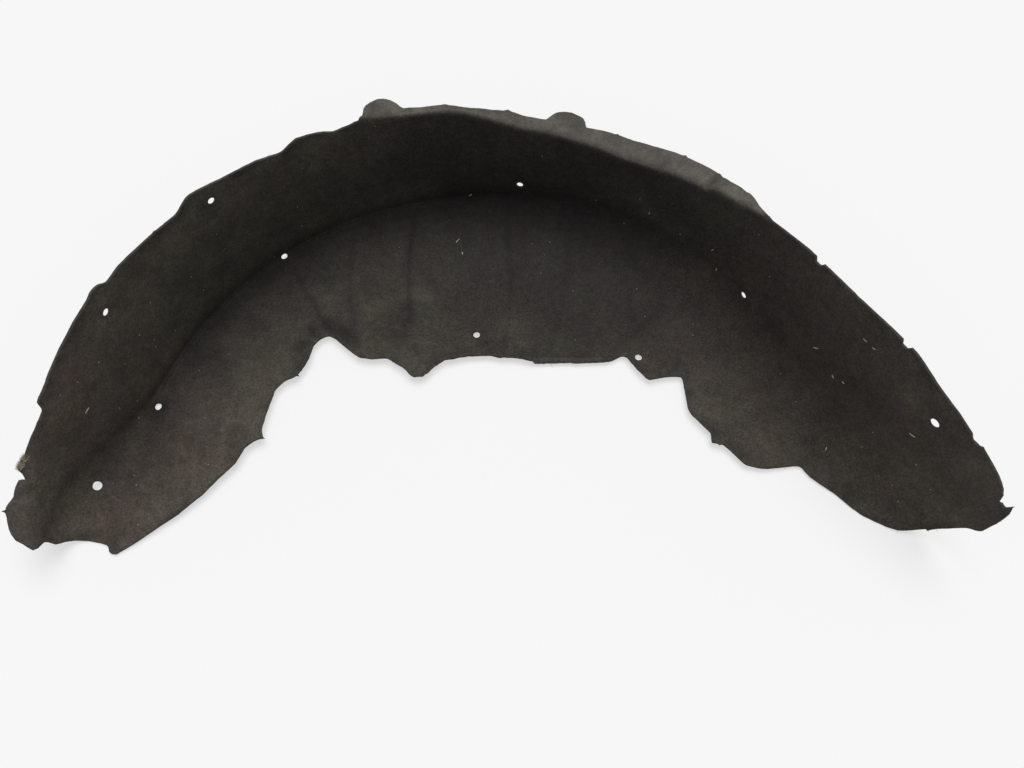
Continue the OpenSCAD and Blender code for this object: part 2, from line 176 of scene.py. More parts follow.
def lookup(x, pairs):
    return np.interp(x, *pairs)


def clamped(value):
    """The value kept between nought and one."""
    return min(1, max(0, value))


def eased(x, pairs, span):
    """Table value with its corners rounded over a few stations."""
    return sum(lookup(x + k * span, pairs) for k in (-1, -0.5, 0, 0.5, 1)) / 5


def corner_radius(station):
    if station < 70:
        share, largest = eased(station, LEG_CORNER, 4), LEG_CORNER_RADIUS
    elif station < 130:
        share, largest = eased(station, SOFT_CORNER, 4), LEG_CORNER_RADIUS
    else:
        share, largest = eased(station, FOOT_CORNER, 3), FOOT_CORNER_RADIUS
    return CREASE_RADIUS + (largest - CREASE_RADIUS) * share


class Section:
    """Measures of the section across the sheet at one station."""

    def __init__(self, station):
        self.r = corner_radius(station)
        dish = eased(station, DISH, 4)
        self.dish = math.radians(dish)
        self.draft = math.radians(DRAFT_ANGLE)
        turn = math.radians(90 - DRAFT_ANGLE + dish)
        self.bend_q = (ARCH_RADIUS * eased(station, SPREAD, 1.5)
                       - self.r * math.tan(turn / 2) * math.cos(self.dish))
        self.bend_run = self.r * turn
        self.bend_z = self.r * (math.cos(self.dish) - math.sin(self.draft))
        root_z = BARREL_HEIGHT * eased(station, HEIGHT, 0.4)
        self.root = self.bend_run + max(
            SHEET_T / 2, (root_z - self.bend_z) / math.cos(self.draft))
        on_foot = station > FOOT_SIDE_STATION
        self.roll_r = FOOT_FLANGE_BEND_RADIUS if on_foot else LIP_BEND_RADIUS
        self.roll_turn = math.radians(FOOT_FLANGE_TURN if on_foot else LIP_TURN)
        self.roll_end = self.root + self.roll_r * self.roll_turn
        lip = FOOT_FLANGE_WIDTH * eased(station, FLANGE, 1) if on_foot else (
            LIP_WIDTH * eased(station, LIP, 1)
            + TAB_LENGTH * max(tab_share(math.copysign(1, t - CROWN) * (station - t) / TAB_HALF)
                               for t in TAB_STATIONS))
        notch = NOTCH_DEPTH * (lookup(station, STEPS) + max(
            deep * min(1, 2 * max(0, 1 - abs(station - n) / NOTCH_HALF)) for n, deep in NOTCHES))
        self.full_edge = self.root + lip
        self.plain_edge = self.full_edge - notch + lookup(station, EDGE_TRIM)
        # The cut ends are sheared by an edge with soft steps, so that no fold runs in from a notch
        self.sheared_edge = self.plain_edge if not on_foot else (
            self.full_edge - NOTCH_DEPTH * eased(station, STEPS, 0.9))
        self.edge = self.plain_edge + nib_rise(station, OUTER_NIBS) + ragged(station, 4.2)
        inward = -self.bend_q - ARCH_RADIUS * eased(station, INNER_EDGE, 0.3)
        if inward < 0:
            self.start = inward / math.cos(self.dish)
        else:
            self.start = self.r * (
                math.asin(min(0.8, inward / self.r - math.sin(self.dish))) + self.dish)
        self.plain_start = self.start
        self.start -= nib_rise(station, INNER_NIBS) + ragged(station, 9.6)
        self.hem = math.radians(HEM_TURN * lookup(station, HEM))

    def share(self, run):
        """How far across the sheet a run lies, from the inner edge to the outer one."""
        return (run - self.plain_start) / (self.sheared_edge - self.plain_start)

    def at(self, run):
        """Distance outside the arch circle, height and direction of the outer face at a run."""
        run = np.asarray(run, float)
        wall = (self.bend_q + run * np.cos(self.dish), -run * np.sin(self.dish),
                np.full_like(run, -self.dish))
        a = run / self.r - self.dish
        bend = (self.bend_q + self.r * (np.sin(a) + np.sin(self.dish)),
                self.r * (np.cos(self.dish) - np.cos(a)), a)
        up = math.pi / 2 - self.draft
        bend_q = self.bend_q + self.r * (math.sin(up) + math.sin(self.dish))
        sine, cosine = math.sin(self.draft), math.cos(self.draft)
        past = run - self.bend_run
        barrel = (bend_q + past * sine, self.bend_z + past * cosine, np.full_like(run, up))
        past = self.root - self.bend_run
        root_q, root_z = bend_q + past * sine, self.bend_z + past * cosine
        a = up - np.minimum(run - self.root, self.roll_end - self.root) / self.roll_r
        past = np.maximum(run - self.roll_end, 0)
        lip = (root_q + self.roll_r * (np.sin(up) - np.sin(a)) + past * np.cos(a),
               root_z + self.roll_r * (np.cos(a) - np.cos(up)) + past * np.sin(a), a)
        rows = [lip, barrel, bend, wall]
        tests = [run >= self.root, run >= self.bend_run, run >= 0, run < 0]
        if self.hem > 0:
            fold = self.start + HEM_LENGTH
            r = HEM_LENGTH / self.hem
            a = (fold - run) / r - self.dish
            fold_q = self.bend_q + fold * math.cos(self.dish)
            fold_z = -fold * math.sin(self.dish)
            rows.insert(0, (fold_q - r * (np.sin(a) + np.sin(self.dish)),
                            fold_z - r * (np.cos(self.dish) - np.cos(a)), a))
            tests.insert(0, run < fold)
        return tuple(np.select(tests, [row[k] for row in rows]) for k in range(3))


def nib_rise(station, nibs):
    return sum(height * max(0, 1 - abs(station - middle) / half) ** 1.5
               for middle, height, half in nibs)


def ragged(station, seed):
    """Slight unevenness of an edge trimmed by water jet through springy felt."""
    return (0.35 * noise.noise(Vector((station * 0.9, seed, 0)))
            + 0.3 * noise.noise(Vector((station * 2.7, seed, 5))))


def tab_share(x):
    """Height of a rounded tab beside its middle, steepest on the side away from the crown."""
    steep = 2.2 if x < 0 else 4.5
    return (1 + math.cos(math.pi * abs(x) ** steep)) / 2 if abs(x) < 1 else 0.0


def end_shift(station, share):
    return (lookup(share, RIGHT_END_SHIFT) * np.maximum(0, 1 - (station - RIGHT_END) / END_FADE)
            + lookup(share, LEFT_END_SHIFT) * np.maximum(0, 1 - (LEFT_END - station) / END_FADE))


def unshifted(where, run):
    """Station of the drawn grid that ends up at a given place once the cut ends are shifted."""
    station = where
    for _ in range(4):
        station = where - float(end_shift(station, Section(station).share(run)))
    return station


def shifted(station, run):
    return station + float(end_shift(station, Section(station).share(run)))


def sheet_place(station, run, section=None):
    """Points of the outer face in the wheel's frame, and the unit way to the wheel side."""
    section = section or Section(station)
    run = np.asarray(run, float)
    q, z, a = section.at(run)
    where = station + end_shift(station, section.share(run))
    facing = np.radians(np.maximum(where, LEG_STATION))
    past = ARCH_RADIUS * (facing - np.radians(where))
    out = ARCH_RADIUS + q
    point = np.stack([out * np.cos(facing) + past * np.sin(facing),
                      out * np.sin(facing) - past * np.cos(facing), z], -1)
    way = np.stack([-np.sin(a) * np.cos(facing), -np.sin(a) * np.sin(facing), np.cos(a)], -1)
    return point, way


# ---- The holes, as station, run, radius and whether a flat seat is pressed round them ----

def hole_marks():
    def wall(station, share):
        section = Section(station)
        return station, (-section.bend_q - share * ARCH_RADIUS) / math.cos(section.dish)

    def corner(station, share):
        return station, Section(station).bend_run * share

    def barrel(station, share):
        section = Section(station)
        rise = (share * BARREL_HEIGHT - section.bend_z) / math.cos(section.draft)
        return station, section.bend_run + rise

    def up(station, share):
        return station, Section(station).root * share

    clip, end = CLIP_HOLE_R, END_HOLE_R
    return [
        (*wall(38.5, 0.357), clip, True), (*wall(89.3, 0.523), clip, True),
        (*corner(129.2, 0.5), clip, False), (*corner(165.6, 0.2), clip, False),
        (*barrel(34.9, 0.225), clip, True), (*barrel(81.9, 0.2), clip, True),
        (*barrel(135.3, 0.87), clip, True), (*barrel(158.8, 0.86), clip, True),
        (*up(-0.8, 0.83), end, True), (*up(180.3, 0.23), end, False)]


HOLES = hole_marks()


def sheet_metric(where, run):
    """Millimetres across and along a flat patch of the sheet for one station and one of run."""
    def place(at, across):
        return sheet_place(unshifted(at, across), np.array([across]))[0][0]

    here = place(where, run)
    along, across = (place(where + 0.2, run) - here) / 0.2, place(where, run + 1.0) - here
    length = float(np.linalg.norm(along))
    lean = float(across @ along) / length
    return length, lean, float(np.linalg.norm(across - along * (lean / length)))


def mm_per_station(station, run):
    """Length of one station along the sheet, which fans out only where the arch is round."""
    if station <= LEG_STATION:
        return LEG_STATION_MM
    return math.radians(ARCH_RADIUS + float(Section(station).at(run)[0]))


# ---- The grid that the sheet is drawn on ----

STATION_STEP = 0.6
WALL_ROWS, BEND_ROWS, BARREL_ROWS, ROLL_ROWS, LIP_ROWS = 30, 14, 22, 5, 4
LEAST_ROW = 0.35
EDGE_ROWS = (0, 0.8, 2, 4)
END_COLUMNS = (0, 0.12, 0.35)
# Reach of the rings past a hole with and without a seat, and the grid left up to the edge
SEATED_REACH, PLAIN_REACH, REACH_TO_EDGE = 8.5, 2.6, 1.2


def evenly(first, last, count):
    return first + (last - first) * np.arange(count) / count


def sheet_runs(section):
    """Runs of the rows across the sheet, closest in the bends and along the free edges."""
    fold = section.start + HEM_LENGTH
    bend_start = max(0, fold + SHEET_T / 2)
    bend_end = max(section.bend_run, bend_start + BEND_ROWS * LEAST_ROW)
    edge = max(section.edge, bend_end + 4)
    last = edge - EDGE_ROWS[2]
    roll = section.roll_r * section.roll_turn
    bend_over = [min(section.root + roll * k / (ROLL_ROWS - 1),
                     last - (ROLL_ROWS + LIP_ROWS - k) * LEAST_ROW / 2) for k in range(ROLL_ROWS)]
    return np.concatenate([
        section.start + np.array(EDGE_ROWS),
        evenly(fold, bend_start, WALL_ROWS),
        evenly(bend_start, bend_end, BEND_ROWS),
        evenly(bend_end, bend_over[0], BARREL_ROWS),
        bend_over[:-1],
        evenly(bend_over[-1], last, LIP_ROWS),
        edge - np.array(EDGE_ROWS[2::-1])])


def sheet_stations():
    """Stations of the sections, with one at every corner of the edges."""
    keys = {RIGHT_END + k for k in END_COLUMNS} | {LEFT_END - k for k in END_COLUMNS}
    for pairs in (INNER_EDGE, HEIGHT, HEM, STEPS, EDGE_TRIM):
        keys.update(pairs[0])
    for middle, _, half in INNER_NIBS + OUTER_NIBS:
        keys.update(middle + k * half for k in (-1, -0.5, 0, 0.5, 1))
    for middle, _ in NOTCHES:
        keys.update(middle + k * NOTCH_HALF for k in (-1, -0.75, -0.5, -0.2, 0.2, 0.5, 0.75, 1))
    for middle in TAB_STATIONS:
        for k in (0, 0.25, 0.5, 0.7, 0.85, 0.93, 0.98, 1):
            keys.update((middle - k * TAB_HALF, middle + k * TAB_HALF))
    keys = sorted(k for k in keys if RIGHT_END <= k <= LEFT_END)
    merged = [keys[0]]
    for key in keys[1:]:
        if key - merged[-1] > 0.05:
            merged.append(key)
    merged[-1] = LEFT_END
    stations = [merged[0]]
    for key in merged[1:]:
        gap = key - stations[-1]
        parts = max(1, math.ceil(gap / STATION_STEP - 0.2))
        stations += list(stations[-1] + gap * np.arange(1, parts + 1) / parts)
    return np.array(stations)


# ---- How far the real sheet strays from its drawn shape ----

# Shallow folds of the inboard wall, darkened with painted shade: station at the corner and 150 mm
# inwards, half width in stations, height in mm and darkness of the painted shade
FOLDS = (
    (44.5, 44.5, 0.8, 0.8, 0.2), (52.5, 51, 0.9, 0.8, 0.2), (71, 62.5, 1, 0.8, 0.25),
    (84.6, 78.8, 0.9, 0.9, 0.35), (102, 110.3, 0.75, 1, 0.5), (114, 128, 0.8, 0.7, 0.35),
    (129, 133, 0.7, 0.5, 0.35), (142, 142, 0.9, 0.6, 0.2), (153, 153, 1.2, 0.7, 0.1))


def fold_share(station, run, first, last, half):
    """How near a point of the inboard wall lies to the middle of a fold."""
    middle = first + (last - first) * min(1.4, max(0, -run / 150))
    return math.exp(-((station - middle) / half) ** 2)


def wander(point, size, seed):
    """Smooth noise from -1 to 1 over lumps of a given size in millimetres."""
    x, y, z = point
    return noise.noise(Vector((x / size + seed, y / size - seed, z / size)))


def sheet_lift(point, station, run):
    """Lift of the sheet to the wheel side: wide waves, shallow folds and small lumps."""
    waves = 1.3 * wander(point, 95, 3.1) + 0.5 * wander(point, 38, 7.7)
    fold = sum(height * fold_share(station, run, first, last, half)
               for first, last, half, height, _ in FOLDS)
    on_wall = clamped(-run / 12)
    lumps = 0.18 * wander(point, 13, 1.9) + 0.07 * wander(point, 4.5, 5.2)
    return waves * min(1, abs(run) / 30 + 0.15) + fold * on_wall + lumps


def seat_share(where, run):
    """How far a point lies inside the flat seat pressed round a hole."""
    deepest = 0
    for at, middle, radius, seated in HOLES:
        if seated and abs(where - at) < 6 and abs(run - middle) < 16:
            away = math.hypot((where - at) * mm_per_station(at, middle), run - middle)
            deepest = max(deepest, clamped((SEAT_R + SEAT_RIM - away) / SEAT_STEP))
    return deepest


# ---- The sheet as one closed mesh ----

class SheetMesh:
    """Marks on the sheet, each with a point on the outer face and one on the wheel side."""

    def __init__(self):
        self.marks = []
        self.skin = []
        self.loops = []

    def mark(self, station, run):
        self.marks.append((float(station), float(run)))
        return len(self.marks) - 1

    def add_grid(self):
        self.stations = sheet_stations()
        self.sections = [Section(st) for st in self.stations]
        self.runs = [sheet_runs(section) for section in self.sections]
        self.grid = np.array([[self.mark(st, run) for run in runs]
                              for st, runs in zip(self.stations, self.runs)])
        taken = set()
        for hole in HOLES:
            taken |= self.add_hole(*hole)
        g = self.grid
        rows, columns = g.shape
        self.skin += [(g[i, j], g[i, j + 1], g[i + 1, j + 1], g[i + 1, j])
                      for i in range(rows - 1) for j in range(columns - 1) if (i, j) not in taken]
        self.loops.append([*zip(g[:-1, 0], g[:-1, 1]), *zip(g[-1, :-1], g[-2, :-1]),
                           *zip(g[:0:-1, -1], g[:0:-1, -2]), *zip(g[0, :0:-1], g[1, :0:-1])])

    def add_hole(self, at, middle, radius, seated):
        """Cuts a block of cells out of the grid and fills it with rings round the hole."""
        scale, lean, rise = sheet_metric(at, middle)
        drawn_at = unshifted(at, middle)
        reach = radius + (SEATED_REACH if seated else PLAIN_REACH)
        near = int(np.argmin(abs(self.stations - drawn_at)))
        room = min(middle - self.runs[near][0], self.runs[near][-1] - middle)
        reach = min(reach, room - REACH_TO_EDGE)
        slack = reach + (0.5 if drawn_at == at else 3)
        i0 = int(np.searchsorted(self.stations, drawn_at - slack / scale)) - 1
        i1 = int(np.searchsorted(self.stations, drawn_at + slack / scale))
        across = [self.runs[i] for i in (i0, near, i1)]
        j0 = min(int(np.searchsorted(runs, middle - reach - 0.3)) - 1 for runs in across)
        j1 = max(int(np.searchsorted(runs, middle + reach + 0.3)) for runs in across)
        j0, j1 = max(j0, 0), min(j1, self.grid.shape[1] - 1)
        g = self.grid
        border = [*g[i0:i1, j0], *g[i1, j0:j1], *g[i1:i0:-1, j1], *g[i0, j1:j0:-1]]
        turns = []
        for mark in border:
            station, run = self.marks[mark]
            turns.append(math.atan2((run - middle) * rise, (shifted(station, run) - at) * scale
                                    + (run - middle) * lean))
        turns = np.unwrap(turns)
        around = np.sign(turns[-1] - turns[0])
        between = np.append(turns, turns[0] + around * 2 * math.pi)
        fine = np.empty(2 * len(border))
        fine[0::2] = turns
        fine[1::2] = (between[:-1] + between[1:]) / 2
        depths = [reach]
        if seated and reach > SEAT_R + 1:
            depths += [SEAT_R + SEAT_RIM, SEAT_R + SEAT_RIM - SEAT_STEP, SEAT_R - 2.5,
                       radius + 2.5]
        depths += [radius + 0.8, radius + 0.35]
        rings = []
        for depth in depths:
            runs = [depth * math.sin(a) / rise for a in fine]
            ring = [(at + (depth * math.cos(a) - lean * run) / scale, middle + run)
                    for a, run in zip(fine, runs)]
            rings.append([self.mark(unshifted(where, run), run) for where, run in ring])
        count = len(border)
        for k in range(count):
            after = (k + 1) % count
            a, b, c = rings[0][2 * k], rings[0][2 * k + 1], rings[0][(2 * k + 2) % (2 * count)]
            self.skin += [(border[k], a, b), (border[k], b, border[after]), (border[after], b, c)]
        for outer, inner in zip(rings, rings[1:]):
            for k in range(2 * count):
                after = (k + 1) % (2 * count)
                self.skin.append((outer[k], inner[k], inner[after], outer[after]))
        self.loops.append(list(zip(rings[-1], rings[-2])))
        return {(i, j) for i in range(i0, i1) for j in range(j0, j1)}

    def place_marks(self):
        """Works out the outer and wheel-side point of every mark, and what the felt shows there."""
        count = len(self.marks)
        self.outer, self.way = np.empty((count, 3)), np.empty((count, 3))
        self.wear_and_light = np.zeros((count, len(WEAR_AND_LIGHT_NAMES)))
        rows, columns = self.grid.shape
        for i, (station, section, runs) in enumerate(zip(self.stations, self.sections, self.runs)):
            self.outer[self.grid[i]], self.way[self.grid[i]] = sheet_place(station, runs, section)
            for j, run in enumerate(runs):
                self.wear_and_light[self.grid[i, j]] = felt_wear_and_light(station, run, section)
        for k in range(rows * columns, count):
            station, run = self.marks[k]
            section = Section(station)
            point, way = sheet_place(station, np.array([run]), section)
            self.outer[k], self.way[k] = point[0], way[0]
            self.wear_and_light[k] = felt_wear_and_light(station, run, section)
        thick = np.empty(count)
        for k, (station, run) in enumerate(self.marks):
            self.outer[k] += self.way[k] * sheet_lift(self.outer[k], station, run)
            where = station
            if abs(station - RIGHT_END) < END_FADE or abs(station - LEFT_END) < END_FADE:
                where = shifted(station, run)
            thick[k] = SHEET_T - SEAT_DEPTH * seat_share(where, run)
        self.wheel_side = self.outer + self.way * thick[:, None]

    def build(self, name):
        self.add_grid()
        self.place_marks()
        count = len(self.marks)
        points = [self.outer, self.wheel_side]
        wear_and_light = [self.wear_and_light, self.wear_and_light]
        faces = [tuple(face) for face in self.skin]
        faces += [tuple(mark + count for mark in reversed(face)) for face in self.skin]
        first = 2 * count
        for loop in self.loops:
            marks, inside = np.array(loop).T
            out = self.outer[marks] - self.outer[inside]
            out /= np.linalg.norm(out, axis=1)[:, None]
            middle = [self.outer[marks] + (self.wheel_side[marks] - self.outer[marks]) * share
                      + out * 0.35 for share in (0.2, 0.8)]
            points += middle
            edge_wear_and_light = self.wear_and_light[marks].copy()
            edge_wear_and_light[:, 0] = 0
            wear_and_light += [edge_wear_and_light, edge_wear_and_light]
            n = len(marks)
            layers = [marks, first + np.arange(n), first + n + np.arange(n), marks + count]
            for low, high in zip(layers, layers[1:]):
                faces += [(low[k], low[(k + 1) % n], high[(k + 1) % n], high[k]) for k in range(n)]
            first += 2 * n
        points = np.concatenate(points) - REST
        points[:, 2] = np.maximum(points[:, 2], 0)
        mesh = bpy.data.meshes.new(name)
        mesh.from_pydata((points * MM).tolist(), [], [tuple(int(v) for v in f) for f in faces])
        mesh.validate()
        tidy = bmesh.new()
        tidy.from_mesh(mesh)
        bmesh.ops.recalc_face_normals(tidy, faces=tidy.faces)
        tidy.to_mesh(mesh)
        tidy.free()
        mesh.shade_smooth()
        for wear_and_light_name, column in zip(WEAR_AND_LIGHT_NAMES, np.concatenate(wear_and_light).T):
            mesh.attributes.new(wear_and_light_name, "FLOAT", "POINT").data.foreach_set("value", column)
        return mesh


# Names of the values for wear and painted light, in the order they are worked out
WEAR_AND_LIGHT_NAMES = ("edge_mm", "painted_shade", "dust_and_light", "press_and_sheen", "brown")
# How pale the felt is with dust on the inboard wall and on the barrel, and with dust and painted
# light low on the barrel and along its rim
WALL_DUST = table(
    -13, 0.45, 5, 0.35, 13, 0.5, 25, 0.55, 30, 0.3, 45, 0.17, 75, 0.17, 95, 0.25, 110, 0.45,
    130, 0.4, 150, 0.6, 165, 0.85, 180, 1)
BARREL_DUST = table(
    -13, 0.32, 0, 0.22, 15, 0.12, 30, 0.12, 45, 0.05, 60, 0, 105, 0.05, 115, 0.25, 130, 0.3,
    145, 0.4, 158, 0.62, 172, 0.62, 185, 0.75)
LOW_DUST_AND_LIGHT = table(
    -13, 0.6, 0, 0.5, 12, 0.3, 30, 0.3, 45, 0.45, 55, 0.25, 65, 0.1, 75, 0, 95, 0, 102, 0.75,
    110, 0.6, 120, 0.35, 135, 0.25, 150, 0.45, 160, 0.6, 172, 0.2, 185, 0.3)
RIM_DUST_AND_LIGHT = table(
    -13, 0.65, 0, 0.55, 25, 0.4, 45, 0.2, 60, 0, 100, 0.1, 112, 0.75, 140, 0.75, 175, 0.9)
# How dark the corner between the walls is painted with shade
CORNER_SHADE = table(
    -13, 0.05, 30, 0.1, 42, 0.12, 50, 0.2, 60, 0.42, 70, 0.58, 82, 0.68, 110, 0.72, 130, 0.72,
    150, 0.75, 160, 0.62, 170, 0.55, 176, 0.3, 183, 0)
# How far in millimetres the corner's painted shade reaches, by station
CORNER_SHADE_REACH = table(40, 42, 72, 70, 108, 70, 130, 45)
# Patches darkened by damp or paled by dust: station, run, half width in mm and change of the dust
PATCHES = (
    (140, -112, 9, -0.7), (135.8, -104, 9, -0.6), (132, -112, 9, -0.6), (130, -132, 9, -0.6),
    (130, -148, 8, -0.5), (110, -140, 12, -0.3), (112, -156, 9, -0.3), (116, -172, 11, -0.3),
    (75, -168, 22, 0.35), (92, -201, 12, 0.3), (105, -136, 14, 0.25), (127.5, -84, 14, 0.25),
    (120.4, -118, 18, 0.3), (67.3, 58, 9, 0.2), (59.4, 90, 9, 0.2), (57, 76, 10, 0.25),
    (3.9, 160, 12, 0.4), (46, -60, 22, -0.2))
# How much faster the corner's painted shade fades on the barrel, and where its painted dark crease
# line fades and lies
CORNER_SHADE_FALL, CREASE_LINE_LIMIT, CREASE_LINE_SHARE, CREASE_LINE_HALF = 5, 16, 0.45, 2.4
# Where brown fibre sets in, towards the foot and along the leg, and over how many stations
FOOT_BROWN_FROM, FOOT_BROWN_OVER = 150, 20
LEG_BROWN, LEG_BROWN_FROM, LEG_BROWN_OVER = 0.5, 52, 18
# Shares of the pressed finish and its painted sheen on the foot's flange and on the hem
FOOT_PRESS_AND_SHEEN, HEM_PRESS_AND_SHEEN = 0.12, 0.35


def painted_shade_share(station, run, section):
    """Painted shade in the corner between the walls, in the line of its crease and in the folds."""
    past_bend = run - section.bend_run
    from_corner = -run if run < 0 else max(0, past_bend) * CORNER_SHADE_FALL
    painted_shade = lookup(station, CORNER_SHADE) * math.exp(-(from_corner / lookup(station, CORNER_SHADE_REACH)) ** 1.3)
    sharp = max(0, 1 - (section.r - CREASE_RADIUS) / CREASE_LINE_LIMIT)
    from_line = run - CREASE_LINE_SHARE * section.bend_run
    painted_shade = max(painted_shade, sharp * math.exp(-(from_line / CREASE_LINE_HALF) ** 2))
    folds = sum(dark * fold_share(station, run, first, last, half)
                for first, last, half, _, dark in FOLDS)
    return min(1, painted_shade + folds * clamped((-run - 10) / 30) * min(1, max(0.3, (run + 200) / 90)))


def dust_and_light_share(station, run, section):
    """Dust on the wall, more of it towards the cut-out, and on the barrel; low on the barrel and at
    its rim it also stands for painted light.
    """
    past_bend = max(0, run - section.bend_run)
    towards_edge = max(0, 1 - (run - section.start) / 60)
    wall = lookup(station, WALL_DUST) * (0.8 + 0.6 * towards_edge)
    high = min(1, past_bend / max(20, section.root - section.bend_run)) ** 2
    barrel = lookup(station, BARREL_DUST)
    # Low on the barrel and along its rim the paleness is dust and painted light
    barrel += (lookup(station, RIM_DUST_AND_LIGHT) - barrel) * high
    barrel += lookup(station, LOW_DUST_AND_LIGHT) * math.exp(-(past_bend / 30) ** 2)
    dust_and_light = wall + (barrel - wall) * clamped(run / max(20, section.bend_run))
    for at, middle, half, change in PATCHES:
        if abs(station - at) < 9:
            around = (station - at) * math.radians(ARCH_RADIUS + min(0, middle))
            dust_and_light += change * math.exp(-(math.hypot(around, run - middle) / half) ** 2)
    return dust_and_light


def felt_wear_and_light(station, run, section):
    """Distance from the free edge, painted shade, dust with painted light, pressing with its
    painted sheen, and brown stain.
    """
    ends = min(station - RIGHT_END, LEFT_END - station) * LEG_STATION_MM
    edge = min(run - section.start, section.edge - run, ends)
    for at, middle, radius, _ in HOLES:
        if abs(station - at) < 4:
            edge = min(edge, math.hypot((station - at) * LEG_STATION_MM, run - middle) - radius)
    # The pressed lip, flange and hem are smoother and painted paler; on the lip this paleness is a
    # painted sheen
    past = run - section.root - section.roll_r * section.roll_turn * 0.5
    press_and_sheen = clamped(past / 2.5) if section.full_edge - section.root > 4 else 0
    if station > FOOT_SIDE_STATION:
        press_and_sheen *= FOOT_PRESS_AND_SHEEN
    on_hem = section.hem > 0.4 and run < section.start + HEM_LENGTH * 0.8
    press_and_sheen = max(press_and_sheen, HEM_PRESS_AND_SHEEN * on_hem)
    brown = max(clamped((station - FOOT_BROWN_FROM) / FOOT_BROWN_OVER),
                LEG_BROWN * clamped((LEG_BROWN_FROM - station) / LEG_BROWN_OVER))
    return (max(edge, 0), painted_shade_share(station, run, section), dust_and_light_share(station, run, section),
            press_and_sheen, brown)


# ---- Finishes ----

def linear(code):
    """Colour of an sRGB hex value, for the shader."""
    parts = [int(code[k:k + 2], 16) / 255 for k in (1, 3, 5)]
    return tuple(c / 12.92 if c <= 0.04045 else ((c + 0.055) / 1.055) ** 2.4 for c in parts) + (1,)


def per_mm(size):
    """Texture scale for a pattern that repeats about every size millimetres."""
    return 1 / (size * MM)


def add_node(tree, kind, inputs=None, **settings):
    """Adds a node with its settings, and sets or links each input by name or number."""
    made = tree.nodes.new(kind)
    for name, value in settings.items():
        setattr(made, name, value)
    for name, value in (inputs or {}).items():
        if isinstance(value, bpy.types.NodeSocket):
            tree.links.new(value, made.inputs[name])
        else:
            made.inputs[name].default_value = value
    return made


def mixed(tree, amount, under, upper, **settings):
    """Colour between two others, by an amount from 0 to 1."""
    return add_node(tree, "ShaderNodeMix", {0: amount, 6: under, 7: upper},
                    data_type="RGBA", **settings).outputs[2]


def new_material(name):
    material = bpy.data.materials.new(name)
    material.use_nodes = True
    material.node_tree.nodes.clear()
    return material, material.node_tree


